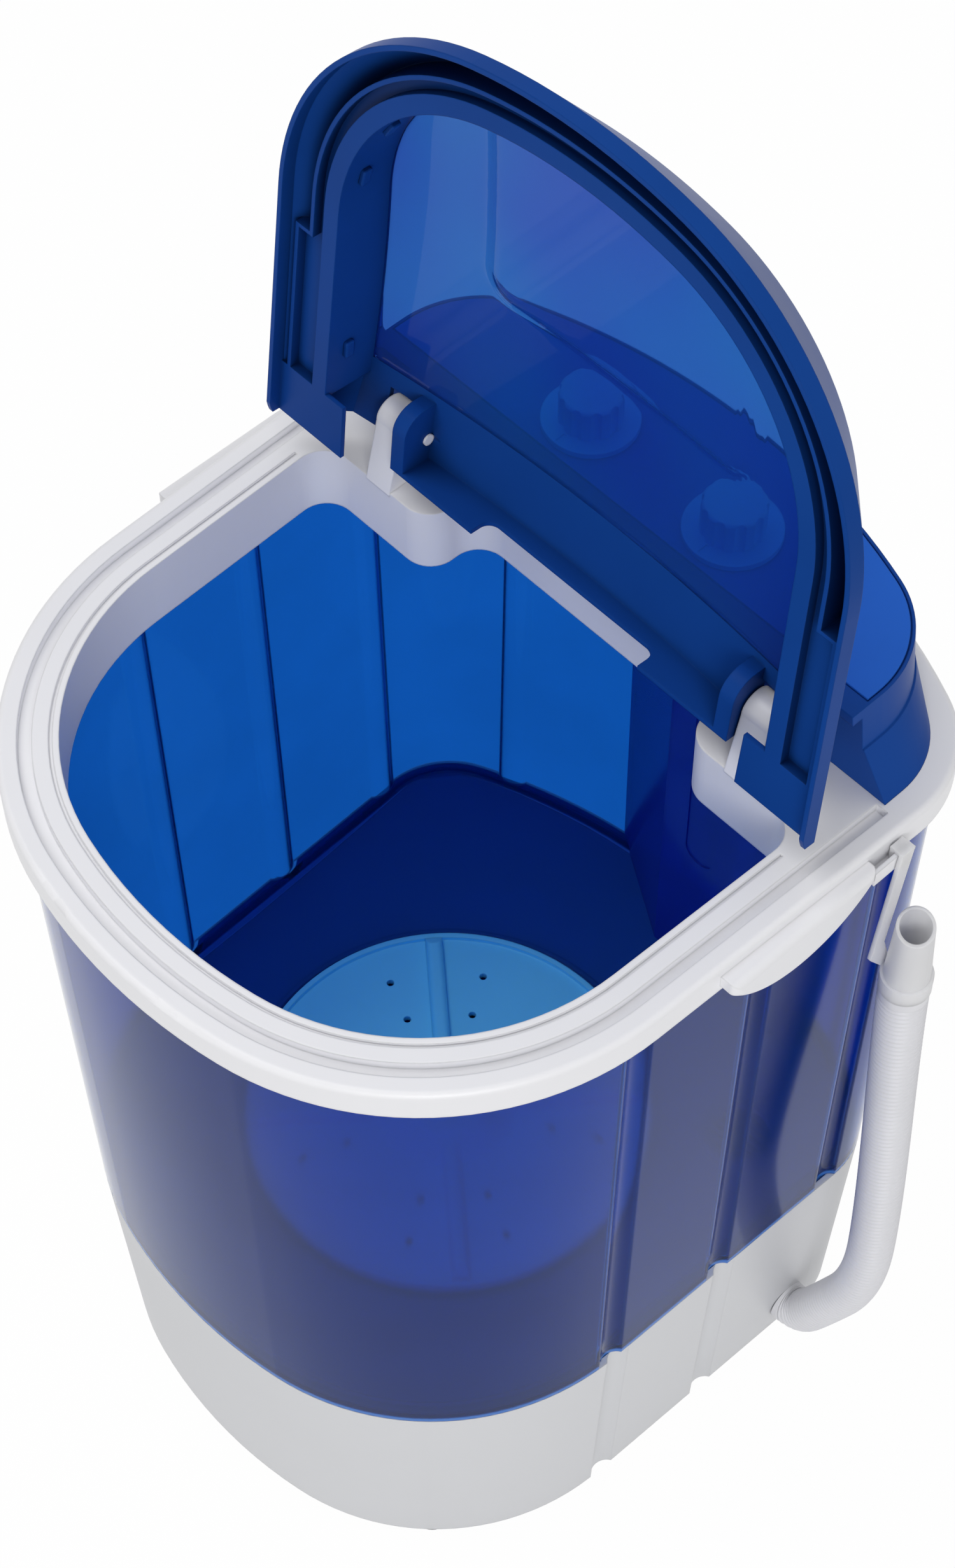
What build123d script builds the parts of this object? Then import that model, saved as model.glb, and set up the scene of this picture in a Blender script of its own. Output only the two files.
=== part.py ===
from build123d import *
from math import acos, atan2, cos, degrees, hypot, pi, radians, sin, sqrt, tan
import os

os.makedirs("parts", exist_ok=True)

# Sizes in mm. X runs to the right side, Y to the back and Z up from the floor.

# Plan of the rim, which all outer parts follow
rim_width = 356.0
rim_depth = 393.0
front_radius = 279.0
front_corner_radius = 150.0
back_radius = 350.0
back_corner_radius = 60.0
back_half_width = 183.0

# Heights above the floor
foot_height = 7.0
seam_height = 161.0
rim_height = 505.0
panel_height = 50.0
hinge_rise = 32.6
knob_rise = 21.0

# Fits
running_gap = 0.05
fit_gap = 0.2
seat_gap = 0.1

# Base and tub
base_inset_bottom = 17.7
seam_inset = 11.3
tub_inset_top = 6.4
base_wall = 3.0
tub_wall = 2.5
floor_thickness = 3.0
floor_drop = 7.0
recess_drop = 14.4
floor_sides = 24
floor_reach = 232.0
floor_rise = 18.0
ledge_height = 5.0
ledge_width = 7.0
skirt_depth = 12.0
flute_radius = 9.0
flute_depth = 4.0
tub_flute_ys = (-51.5, 22.7, 100.4)
base_flute_ys = (-46.0, 28.0)
back_flute_xs = (-127.0, -46.0, 46.0, 127.0)

# Drive, all on the shaft axis at x = 0
drive_y = -8.0
pulsator_radius = 106.6
pulsator_top = 157.4
pulsator_gap = 3.4
pulsator_plate = 4.0
pulsator_ribs = 4
rib_angle = 141.0
rib_width = 9.3
rib_height = 7.0
hole_radii = (57.0, 82.0)
hole_spread = 18.0
hole_radius = 2.0
shaft_radius = 5.0
seal_radius = 15.0
bearing_radius = 13.0
bearing_width = 8.0
bearing_housing_radius = 24.0
bearing_flange_radius = 48.0
bearing_length = 58.0
driven_pitch_radius = 60.0
motor_pitch_radius = 12.0
belt_thickness = 4.0
belt_width = 8.0
belt_height = 53.0
flange_height = 5.0
pulley_width = 14.0
motor_x = -60.0
motor_back = 101.5
motor_radius = 46.0
motor_bottom = 68.0
motor_height = 54.0
shield_height = 10.0
motor_shaft_radius = 4.0
rotor_radius = 25.5
rotor_gap = 0.5
motor_ear_radius = 58.0
bush_height = 10.0
capacitor_back = 80.5

# Rim; places along Y are measured from its back edge
rim_band = 17.0
rim_edge_radius = 3.0
rim_wall = 3.0
rim_plate = 7.5
opening_inset = 28.1
opening_behind_hinge = 16.5
platform_ahead = 16.5
platform_gap = 82.0
platform_radius = 15.0
skirt_wall = 2.5
skirt_drop = 38.0
lid_groove_outer = 9.5
lid_groove_inner = 16.0
lid_groove_depth = 4.5
trim_groove_outer = 23.5
trim_groove_width = 1.6
trim_groove_depth = 1.5
handle_back = 165.5
handle_length = 88.0
handle_reach = 8.0
handle_drop = 17.0
handle_wall = 2.8

# Hinge and lid
hinge_back = 118.0
lid_angle = 95.6
post_inner_x = 108.0
post_width = 16.0
post_radius = 9.0
post_foot_front = 17.0
post_foot_back = 13.0
pin_radius = 3.0
ear_width = 8.2
ear_gap = 0.8
ear_reach = 20.0
lid_inset = 12.0
lid_wall = 2.5
lid_edge_drop = 2.7
lid_side_height = 8.0
lid_slope = 45.5
dome_radius = 1000.0
dome_rise = 13.0
window_inset = 44.0
window_back = 24.0
window_thickness = 2.5
ring_inset = 27.0
ring_wide_inset = 18.0
ring_jog_back = 105.0
ring_wall = 2.2
ring_drop = 6.0
ring_end = 9.0
frame_width = 9.0
groove_depth = 5.0
bar_back = 15.5
bar_wall = 2.5
bar_drop = 15.0
bar_cut_drop = 3.0
bar_cut_half_width = 53.0
bar_cut_radius = 6.0
wing_back = 14.0
swing_gap = 1.0
notch_front = 13.0
notch_gap = 1.5
dish_half_width = 80.0
dish_back = 100.0
dish_margin = 17.0
dish_depth = 3.0
dish_corner = 18.0

# Control panel
panel_inset = 13.0
panel_step_height = 25.0
panel_flare = 15.5
panel_lean = 4.2
panel_step = 0.8
panel_mid_corner = 56.0
panel_top_corner = 55.0
panel_back_lean = 1.5
panel_behind_hinge = 19.5
panel_overhang = 6.0
panel_lip = 5.5
panel_wall = 2.5
panel_deck = 3.5
panel_edge = 1.5
fascia_front = 5.0
fascia_recess = 1.5
fascia_thickness = 1.8
fascia_gap = 0.8
knob_x = 44.5
knob_back = 67.1
knob_skirt_radius = 23.0
knob_skirt = 3.0
knob_grip_radius = 15.0
knob_scallops = 10
knob_shaft_radius = 3.0
timer_size = (42.0, 38.0, 34.0)

# Overflow duct inside the tub
overflow_back = 50.5
overflow_left = 2.0
overflow_right = 100.0
overflow_slant = 60.0
overflow_wall = 2.0
overflow_below_skirt = 7.0
overflow_slot_x = 28.0
overflow_slot_half = 9.5
overflow_slot_low = 266.0
overflow_slot_depth = 0.8

# Drain
drain_inset = 46.8
hose_back = 105.5
hose_low_z = 31.0
hose_rise = 70.0
hose_lean = 10.0
hose_lean_z = 200.0
hose_top_z = 404.0
hose_bend = 18.0
hose_straight = 0.5
hose_radius = 12.0
hose_root_radius = 11.2
hose_bore = 8.6
hose_pitch = 3.4
root_cuff = 4.0
cuff_length = 16.0
pipe_radius = 9.8
pipe_bore = 7.4
pipe_bend = 24.0
pipe_out = 4.0
grate_radius = 16.5
grate_lip = 5.5
nozzle_radius = 10.9
mouth_radius = 8.5
mouth_slant = 22.0
mouth_turn = 45.0
collar_height = 10.0
nozzle_height = 48.0
nozzle_gap = 3.5
hook_width = 22.0
hook_ahead = 7.0
hook_reach = 5.8
hook_lip = 2.0
hook_drop = 8.0
arm_width = 8.0
arm_lean = 10.0
arm_foot_rise = 20.0
tongue_drop = 9.0
arm_thickness = 2.2
arm_gap = 0.5

# Fasteners; margins are measured inward from the edge of the part they hold
foot_front = 70.5
foot_back = 72.5
foot_margin = 15.2
foot_radius = 12.0
foot_pin = 4.0
screw_front = 111.5
screw_back = 128.5
screw_margin = 18.2
back_screw_x = 70.0
back_screw_margin = 8.1
panel_screw_back = 74.5
panel_screw_margin = 33.2
panel_back_screw_x = 85.0
panel_back_margin = 20.6
boss_radius = 6.0
boss_height = 34.0
web_reach = 40.0
web_half = 1.5
screw_radius = 1.75
screw_head_radius = 4.0
screw_head = 2.2


def on_circle(cx, cy, radius, angle):
    """Point on a circle in the plan."""
    return (cx + radius * cos(angle), cy + radius * sin(angle))


# Centres and joining angles of the arcs of the plan
front_y = -rim_depth / 2
back_y = rim_depth / 2
hinge_y = back_y - hinge_back
hinge_height = rim_height + hinge_rise
deck_height = rim_height + panel_height
knob_height = deck_height + knob_rise
panel_front_y = hinge_y + panel_behind_hinge
knob_y = back_y - knob_back
handle_y = back_y - handle_back
hose_y = back_y - hose_back
motor_y = back_y - motor_back
opening_back_y = hinge_y + opening_behind_hinge
platform_y = hinge_y - platform_ahead
skirt_bottom = rim_height - skirt_drop
panel_lip_y = panel_front_y - panel_overhang
fascia_front_y = panel_front_y + fascia_front
window_y = hinge_y - window_back
rear_y = hinge_y + bar_back
wing_y = hinge_y + wing_back
lid_edge_height = rim_height - lid_edge_drop
front_centre = (0.0, front_y + front_radius)
corner_x = rim_width / 2 - front_corner_radius
corner_y = front_centre[1] - sqrt((front_radius - front_corner_radius) ** 2 - corner_x ** 2)
back_centre = (0.0, back_y - back_radius)
back_corner_x = back_half_width - back_corner_radius
back_corner_y = back_centre[1] + sqrt((back_radius - back_corner_radius) ** 2 - back_corner_x ** 2)
corner_dx = back_corner_x - corner_x
corner_dy = back_corner_y - corner_y
front_angle = atan2(corner_y - front_centre[1], corner_x)
back_angle = atan2(back_corner_y - back_centre[1], back_corner_x)
side_turn = acos((front_corner_radius - back_corner_radius) / hypot(corner_dx, corner_dy))
side_angle = atan2(corner_dy, corner_dx) - side_turn


def arc(cx, cy, radius, start, end, z):
    """Arc in the plan at height z, between two angles."""
    points = [on_circle(cx, cy, radius, a) + (z,) for a in (start, (start + end) / 2, end)]
    return ThreePointArc(*points)


def plan_face(inset, z):
    """The plan of the rim moved inward by inset, as a flat face at height z."""
    fr = front_radius - inset
    fcr = front_corner_radius - inset
    br = back_radius - inset
    bcr = back_corner_radius - inset
    right_low = on_circle(corner_x, corner_y, fcr, side_angle) + (z,)
    right_high = on_circle(back_corner_x, back_corner_y, bcr, side_angle) + (z,)
    left_low = (-right_low[0], right_low[1], z)
    left_high = (-right_high[0], right_high[1], z)
    edges = [
        arc(*front_centre, fr, -pi - front_angle, front_angle, z),
        arc(corner_x, corner_y, fcr, front_angle, side_angle, z),
        Line(right_low, right_high),
        arc(back_corner_x, back_corner_y, bcr, side_angle, back_angle, z),
        arc(*back_centre, br, back_angle, pi - back_angle, z),
        arc(-back_corner_x, back_corner_y, bcr, pi - back_angle, pi - side_angle, z),
        Line(left_high, left_low),
        arc(-corner_x, corner_y, fcr, pi - side_angle, pi - front_angle, z),
    ]
    return Face(Wire(edges))


def prism(inset_low, z_low, inset_high, z_high):
    """Solid on the plan between two heights, with its own inset at each end."""
    height = z_high - z_low
    slope = degrees(atan2(abs(inset_high - inset_low), height))
    if slope < 0.001:
        return extrude(plan_face(inset_low, z_low), height, dir=(0, 0, 1))
    small_end = extrude(plan_face(min(inset_low, inset_high), 0), height, dir=(0, 0, 1), taper=slope)
    if inset_high > inset_low:
        return Pos(0, 0, z_low) * small_end
    return Pos(0, 0, z_high) * mirror(small_end, Plane.XY)


def block(x0, x1, y0, y1, z0, z1):
    return Pos((x0 + x1) / 2, (y0 + y1) / 2, (z0 + z1) / 2) * Box(x1 - x0, y1 - y0, z1 - z0)


def rod(x, y, z0, z1, radius):
    return Pos(x, y, (z0 + z1) / 2) * Cylinder(radius, z1 - z0)


def tube(x, y, z0, z1, radius, bore):
    return rod(x, y, z0, z1, radius) - rod(x, y, z0 - 1, z1 + 1, bore)


def rod_x(x0, x1, y, z, radius):
    return Pos((x0 + x1) / 2, y, z) * Rot(0, 90, 0) * Cylinder(radius, x1 - x0)


def rod_y(x, y0, y1, z, radius):
    return Pos(x, (y0 + y1) / 2, z) * Rot(90, 0, 0) * Cylinder(radius, y1 - y0)


def both_sides(part):
    return part + mirror(part, Plane.YZ)


def side_x(y, inset):
    """X of the right side of the plan at y, moved inward by inset."""
    if y > back_corner_y:
        return back_corner_x + sqrt((back_corner_radius - inset) ** 2 - (y - back_corner_y) ** 2)
    low = on_circle(corner_x, corner_y, front_corner_radius - inset, side_angle)
    if y < low[1]:
        return corner_x + sqrt((front_corner_radius - inset) ** 2 - (y - corner_y) ** 2)
    return low[0] + (y - low[1]) * -sin(side_angle) / cos(side_angle)


def back_edge_y(x, inset):
    """Y of the back of the plan at x, moved inward by inset."""
    reach = (back_radius - inset) * cos(back_angle)
    if abs(x) > reach:
        return back_corner_y + sqrt((back_corner_radius - inset) ** 2 - (abs(x) - back_corner_x) ** 2)
    return back_centre[1] + sqrt((back_radius - inset) ** 2 - x ** 2)


def slanted_rod(start, end, radius):
    direction = Vector(*end) - Vector(*start)
    profile = Pos(*start) * Circle(radius)
    return extrude(profile, direction.length, dir=direction)


def screw(x, y, z_head, length, radius=screw_radius, head=screw_head_radius, up=1):
    """Screw whose head stands on z_head; up = 1 has its shank pointing up, -1 down."""
    body = rod(0, 0, 0, length, radius) + rod(0, 0, -screw_head, 0, head)
    drive = block(-head * 0.6, head * 0.6, -0.4, 0.4, -screw_head, -screw_head + 0.9)
    body = body - drive
    if up < 0:
        body = mirror(body, Plane.XY)
    return Pos(x, y, z_head) * body


def group(solids):
    return Compound(children=[s.solid() for s in solids])


# Places across X that follow the sides of the plan
drain_x = side_x(hose_y, base_inset_bottom) - drain_inset
hook_lip_out = side_x(hose_y, 0) + hook_reach
arm_in = hook_lip_out + arm_gap
arm_out = arm_in + arm_thickness
hose_top_x = arm_out + nozzle_gap + pipe_bore
hose_out_x = hose_top_x + hose_lean
far = 400.0

parts = {}

# Base shell
base_top = seam_height - fit_gap
base_outer = prism(base_inset_bottom, foot_height, seam_inset, base_top)
base_inner = prism(base_inset_bottom + base_wall, foot_height - 1, seam_inset + base_wall, base_top + 1)
base_housing = base_outer - base_inner
flute_out = flute_radius - flute_depth
flute_rooms = []
for y in base_flute_ys:
    low = (side_x(y, base_inset_bottom) + flute_out, y, foot_height)
    high = (side_x(y, seam_inset) + flute_out, y, base_top)
    rib = slanted_rod(low, high, flute_radius + base_wall) & base_outer
    groove = slanted_rod(low, high, flute_radius)
    base_housing = base_housing + both_sides(rib) - both_sides(groove)
    flute_rooms.append(slanted_rod(low, high, flute_radius + base_wall + fit_gap))

# Bottom plate and what stands on it
plate_top = foot_height + 3.0
plate_inset = base_inset_bottom + base_wall + fit_gap
bottom_plate = extrude(plan_face(plate_inset, foot_height), plate_top - foot_height, dir=(0, 0, 1))
for y in base_flute_ys:
    x = side_x(y, base_inset_bottom) + flute_out
    notch = rod(x, y, foot_height - 1, plate_top + 1, flute_radius + base_wall + 1)
    bottom_plate = bottom_plate - both_sides(notch)
foot_points = []
base_screws = []
for side in (-1, 1):
    for y in (front_y + foot_front, back_y - foot_back):
        foot_points.append((side * (side_x(y, plate_inset) - foot_margin), y))
    for y in (front_y + screw_front, back_y - screw_back):
        x = side * (side_x(y, plate_inset) - screw_margin)
        base_screws.append((x, y, side * web_reach, 0))
    y = back_edge_y(back_screw_x, plate_inset) - back_screw_margin
    base_screws.append((side * back_screw_x, y, 0, web_reach))
boss_low = plate_top + fit_gap
boss_top = plate_top + boss_height
base_screw_length = 18.0
for x, y, web_x, web_y in base_screws:
    boss = rod(x, y, boss_low, boss_top, boss_radius)
    web_left = min(x, x + web_x) - web_half
    web_right = max(x, x + web_x) + web_half
    web = block(web_left, web_right, y - web_half, y + web_y + web_half, boss_low, boss_top)
    base_housing = base_housing + (boss + web & base_outer)
    base_housing = base_housing - rod(x, y, plate_top, plate_top + base_screw_length, screw_radius)
    bottom_plate = bottom_plate - rod(x, y, foot_height - 1, plate_top + 1, screw_radius + fit_gap)
parts["base_screws"] = group([
    screw(x, y, foot_height, base_screw_length) for x, y, web_x, web_y in base_screws])

for x, y in foot_points:
    bottom_plate = bottom_plate - rod(x, y, foot_height - 1, plate_top + 1, foot_pin)
parts["feet"] = group([
    rod(x, y, 0, foot_height, foot_radius) + rod(x, y, foot_height, plate_top, foot_pin)
    for x, y in foot_points])

# Tub with its sloping floor, pulsator recess and drain seat
tub_top = rim_height - rim_plate - fit_gap
recess_radius = pulsator_radius + pulsator_gap
floor_low = pulsator_top - floor_drop
recess_floor = pulsator_top - recess_drop
recess_bottom = recess_floor - floor_thickness
ledge_z = seam_height + ledge_height
tub_outer = prism(seam_inset, seam_height, tub_inset_top, tub_top)
tub_skirt_low = seam_height - skirt_depth
base_slope = (base_inset_bottom - seam_inset) / (base_top - foot_height)
skirt_inset = seam_inset + base_slope * skirt_depth + base_wall + fit_gap
tub = tub_outer + prism(skirt_inset, tub_skirt_low, skirt_inset, seam_height + 1)
tub = tub - prism(seam_inset + tub_wall, ledge_z, tub_inset_top + tub_wall, tub_top + 1)
for flute_room in flute_rooms:
    tub = tub - both_sides(flute_room)


def floor_space(drop):
    """Room above the sloping floor, moved down by drop."""
    low = Pos(0, drive_y, floor_low - drop) * RegularPolygon(recess_radius + 2, floor_sides)
    high = Pos(0, drive_y, floor_low + floor_rise - drop) * RegularPolygon(floor_reach, floor_sides)
    return loft([low, high], ruled=True)


pocket_inset = seam_inset + tub_wall + ledge_width
tub = tub - (floor_space(0) & prism(pocket_inset, floor_low - 1, pocket_inset, ledge_z + 1))
under_inset = skirt_inset + tub_wall
under = prism(under_inset, recess_bottom, under_inset, ledge_z - floor_thickness)
under = under - floor_space(floor_thickness)
tub = tub - under
tub = tub - rod(0, drive_y, recess_bottom - 20, recess_floor, recess_radius + floor_thickness)
tub = tub + rod(0, drive_y, recess_bottom, floor_low + 1, recess_radius + floor_thickness)
tub = tub - rod(0, drive_y, recess_floor, tub_top, recess_radius)
tub = tub - rod(0, drive_y, recess_bottom - 1, recess_floor + 1, seal_radius)
grate_z = floor_low + 2.0
stub_bottom = recess_bottom - 2.0
tub = tub + rod(drain_x, hose_y, stub_bottom, grate_z + grate_lip, grate_radius + 3)
tub = tub - rod(drain_x, hose_y, grate_z, tub_top, grate_radius + fit_gap)
tub = tub - rod(drain_x, hose_y, stub_bottom - 1, grate_z + 1, pipe_bore)
tub = tub - rod(drain_x, hose_y, stub_bottom - 1, grate_z - 3, pipe_radius + seat_gap)
for y in tub_flute_ys:
    low = (side_x(y, seam_inset) + flute_out, y, seam_height)
    high = (side_x(y, tub_inset_top) + flute_out, y, tub_top)
    rib = slanted_rod(low, high, flute_radius + tub_wall) & tub_outer
    tub = tub + both_sides(rib) - both_sides(slanted_rod(low, high, flute_radius))
for x in back_flute_xs:
    low = (x, back_edge_y(x, seam_inset) + flute_out, seam_height)
    high = (x, back_edge_y(x, tub_inset_top) + flute_out, tub_top)
    rib = slanted_rod(low, high, flute_radius + tub_wall) & tub_outer
    tub = tub + rib - slanted_rod(low, high, flute_radius)

grate = rod(drain_x, hose_y, grate_z + seat_gap, grate_z + 2.2, grate_radius)
slot_pitch = 4.0
for i in range(-3, 4):
    slot_y = hose_y + i * slot_pitch
    half = sqrt((grate_radius - 3) ** 2 - (i * slot_pitch) ** 2)
    grate = grate - block(drain_x - half, drain_x + half, slot_y - 1, slot_y + 1, grate_z, grate_z + 3)
parts["drain_grate"] = grate

# Pulsator with ribs, raised lip and holes
plate_z = pulsator_top - 2.4 - pulsator_plate
pulsator = rod(0, 0, plate_z, plate_z + pulsator_plate, pulsator_radius)
pulsator = pulsator + tube(0, 0, plate_z, pulsator_top, pulsator_radius, pulsator_radius - 3.0)
hub_bottom = recess_floor + 5.5
hub_radius = 14.0
pulsator = pulsator + rod(0, 0, hub_bottom, plate_z + 1, hub_radius)
dome_bottom = plate_z + pulsator_plate
pulsator = pulsator + Pos(0, 0, dome_bottom + 4.5) * Cone(36, 20, 9)
for i in range(pulsator_ribs):
    turn = rib_angle + 360 * i / pulsator_ribs
    rib_length = pulsator_radius - 4.0
    rib = Pos(rib_length / 2, 0, dome_bottom + rib_height / 2) * Box(rib_length, rib_width, rib_height)
    rib = fillet(rib.edges().group_by(Axis.Z)[-1].filter_by(Axis.X), rib_height * 0.5)
    rib = rib - Pos(rib_length + 4, 0, dome_bottom + rib_height) * Rot(0, 30, 0) * Box(36, 30, 9)
    pulsator = pulsator + Rot(0, 0, turn) * rib
    for radius in hole_radii:
        for spread in (-hole_spread, hole_spread):
            hx, hy = on_circle(0, 0, radius, radians(turn + spread))
            pulsator = pulsator - rod(hx, hy, plate_z - 1, dome_bottom + 1, hole_radius)
shaft_top = plate_z + 2.0
bolt_radius = 2.5
pulsator = pulsator - rod(0, 0, hub_bottom - 1, shaft_top, shaft_radius)
cap_z = dome_bottom + 5.0
pulsator = pulsator - rod(0, 0, shaft_top - 1, cap_z + 10, bolt_radius)
pulsator = pulsator - rod(0, 0, cap_z, cap_z + 10, 7.0)
parts["pulsator"] = Pos(0, drive_y, 0) * pulsator
bolt_length = cap_z - shaft_top + 14.0
parts["pulsator_screw"] = screw(0, drive_y, cap_z, bolt_length, bolt_radius, 6.0, up=-1)

# Shaft, seal, bearings and their housing under the tub
belt_low = belt_height - belt_width / 2
pulley_low = belt_height - pulley_width / 2
hub_low = pulley_low - 2.0
nut_height = 5.0
shaft_low = hub_low - nut_height - 2.0
drive_shaft = rod(0, drive_y, shaft_low, shaft_top, shaft_radius)
drive_shaft = drive_shaft - rod(0, drive_y, cap_z - bolt_length, shaft_top + 1, bolt_radius)
parts["drive_shaft"] = drive_shaft
seal_top = hub_bottom - 1.0
seal_bore = shaft_radius + running_gap
shaft_seal = tube(0, drive_y, recess_bottom, recess_floor, seal_radius, seal_bore)
parts["shaft_seal"] = shaft_seal + tube(0, drive_y, recess_floor, seal_top, seal_radius - 4, seal_bore)
housing_top = recess_bottom - seat_gap
housing_low = housing_top - bearing_length
flange = 4.0
bearing_housing = rod(0, drive_y, housing_low, housing_top, bearing_housing_radius)
bearing_housing = bearing_housing + rod(0, drive_y, housing_top - flange, housing_top, bearing_flange_radius)
upper_bearing = housing_top - bearing_width
bearing_housing = bearing_housing - rod(0, drive_y, upper_bearing, housing_top + 1, bearing_radius)
lower_bearing_top = housing_low + bearing_width
bearing_housing = bearing_housing - rod(0, drive_y, housing_low - 1, lower_bearing_top, bearing_radius)
bearing_housing = bearing_housing - rod(0, drive_y, housing_low - 1, housing_top + 1, shaft_radius + 3)
bearing_points = [on_circle(0, drive_y, bearing_flange_radius - 8, radians(45 + 90 * i)) for i in range(4)]
for x, y in bearing_points:
    bearing_housing = bearing_housing - rod(x, y, housing_low, housing_top + 1, screw_radius + fit_gap)
    tub = tub + rod(x, y, recess_bottom, recess_floor + 4, 4.5)
    tub = tub - rod(x, y, recess_bottom - 1, recess_bottom + 5, screw_radius)
parts["bearing_screws"] = group([screw(x, y, housing_top - flange, flange + 4) for x, y in bearing_points])
parts["bearing_housing"] = bearing_housing
parts["shaft_bearings"] = group([
    tube(0, drive_y, z, z + bearing_width, bearing_radius, shaft_radius + running_gap)
    for z in (upper_bearing, housing_low)])
parts["tub"] = tub

# Overflow duct up the back wall, with a slanting left side and a shallow round-ended slot in its front
overflow_y = back_y - overflow_back
overflow_top = skirt_bottom - overflow_below_skirt
slant_x = overflow_left - overflow_back / tan(radians(90 - overflow_slant))
outline = make_face(Polyline(
    (slant_x, back_y), (overflow_left, overflow_y), (overflow_right, overflow_y),
    (overflow_right, back_y), close=True))
overflow = Pos(0, 0, floor_low) * extrude(outline, overflow_top - floor_low, dir=(0, 0, 1))
overflow_room = Pos(0, 0, floor_low - 1) * extrude(
    offset(outline, -overflow_wall), overflow_top - floor_low + 2, dir=(0, 0, 1))
slot_y = overflow_y + overflow_slot_depth
slot = block(overflow_slot_x - overflow_slot_half, overflow_slot_x + overflow_slot_half,
             overflow_y - 1, slot_y, overflow_slot_low, tub_top)
slot = slot + rod_y(overflow_slot_x, overflow_y - 1, slot_y, overflow_slot_low, overflow_slot_half)
tub_room = prism(seam_inset + tub_wall + fit_gap, floor_low, tub_inset_top + tub_wall + fit_gap, tub_top)
overflow = (overflow - overflow_room - slot & tub_room) - Pos(0, 0, fit_gap) * tub
parts["overflow_duct"] = overflow.solids().sort_by(SortBy.VOLUME)[-1]


def pulley(pitch_radius, bore, hub_radius, hub_drop):
    """Grooved wheel for the belt, on the Z axis at belt height."""
    floor_radius = pitch_radius - belt_thickness / 2 - fit_gap
    wheel_radius = floor_radius + flange_height
    wheel = rod(0, 0, pulley_low, pulley_low + pulley_width, wheel_radius)
    groove = tube(0, 0, belt_low - 1, belt_low + belt_width + 1, wheel_radius + 1, floor_radius)
    wheel = wheel - groove + rod(0, 0, pulley_low - hub_drop, pulley_low + pulley_width, hub_radius)
    return wheel - rod(0, 0, pulley_low - hub_drop - 1, pulley_low + pulley_width + 1, bore)


driven = pulley(driven_pitch_radius, shaft_radius, 13.0, 2.0)
web = tube(0, 0, pulley_low + 5, pulley_low + pulley_width + 1, driven_pitch_radius - 10, 13.0)
driven = driven - web
for i in range(6):
    hx, hy = on_circle(0, 0, 32, radians(60 * i))
    driven = driven - rod(hx, hy, pulley_low - 1, pulley_low + 6, 9)
parts["driven_pulley"] = Pos(0, drive_y, 0) * driven
nut = extrude(Pos(0, drive_y, hub_low - nut_height) * RegularPolygon(9, 6), nut_height)
parts["pulley_nut"] = nut - rod(0, drive_y, 0, 100, shaft_radius)
parts["motor_pulley"] = Pos(motor_x, motor_y, 0) * pulley(motor_pitch_radius, motor_shaft_radius, 8.0, 0.0)


def belt_face(driven_radius, motor_radius):
    """Flat loop round both pulleys."""
    dx, dy = motor_x, motor_y - drive_y
    lean = acos((driven_radius - motor_radius) / hypot(dx, dy))
    line = atan2(dy, dx)
    a, b = line - lean, line + lean
    driven_ends = [on_circle(0, drive_y, driven_radius, angle) for angle in (b, line + pi, a)]
    motor_ends = [on_circle(motor_x, motor_y, motor_radius, angle) for angle in (a, line, b)]
    edges = [
        ThreePointArc(*driven_ends),
        Line(driven_ends[2], motor_ends[0]),
        ThreePointArc(*motor_ends),
        Line(motor_ends[2], driven_ends[0]),
    ]
    return Face(Wire(edges))


half_belt = belt_thickness / 2
belt_outer = belt_face(driven_pitch_radius + half_belt, motor_pitch_radius + half_belt)
belt_inner = belt_face(driven_pitch_radius - half_belt, motor_pitch_radius - half_belt)
belt = extrude(belt_outer, belt_width, dir=(0, 0, 1)) - extrude(belt_inner, belt_width, dir=(0, 0, 1))
parts["drive_belt"] = Pos(0, 0, belt_low) * belt

# Motor on rubber bushes over three posts of the bottom plate
stator_low = motor_bottom + shield_height
stator_high = motor_bottom + motor_height - shield_height
motor_top = motor_bottom + motor_height
belt_line = atan2(drive_y - motor_y, -motor_x)
ear_points = [
    on_circle(motor_x, motor_y, motor_ear_radius, belt_line + radians(60 + 120 * i)) for i in range(3)]
ear_thickness = 4.0
lower_shield = rod(motor_x, motor_y, motor_bottom, stator_low, motor_radius)
for x, y in ear_points:
    angle = degrees(atan2(y - motor_y, x - motor_x))
    ear_length = motor_ear_radius - motor_radius + 10
    arm = Pos(motor_x, motor_y, motor_bottom + ear_thickness / 2) * Rot(0, 0, angle)
    arm = arm * Pos(motor_ear_radius - ear_length / 2, 0, 0) * Box(ear_length, 16, ear_thickness)
    lower_shield = lower_shield + arm + rod(x, y, motor_bottom, motor_bottom + ear_thickness, 8)
    lower_shield = lower_shield - rod(x, y, motor_bottom - 1, motor_bottom + 9, 3.0 + fit_gap)
lower_shield = lower_shield - rod(motor_x, motor_y, stator_low - 5, stator_low + 1, motor_radius - 5)
upper_shield = rod(motor_x, motor_y, stator_high, motor_top, motor_radius)
upper_shield = upper_shield - rod(motor_x, motor_y, stator_high - 1, stator_high + 5, motor_radius - 5)
motor_bore = rod(motor_x, motor_y, motor_bottom - 1, motor_top - 3, motor_shaft_radius + running_gap)
parts["motor_shields"] = group([lower_shield - motor_bore, upper_shield - motor_bore])
stator_bore = rotor_radius + rotor_gap
parts["motor_stator"] = tube(motor_x, motor_y, stator_low, stator_high, motor_radius, stator_bore)
rotor = tube(motor_x, motor_y, stator_low + 2, stator_high - 2, rotor_radius, motor_shaft_radius)
parts["motor_rotor"] = rotor
parts["motor_shaft"] = rod(motor_x, motor_y, pulley_low - 2, motor_top - 4, motor_shaft_radius)
post_top = motor_bottom - bush_height
bush_bore = 3.0
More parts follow.
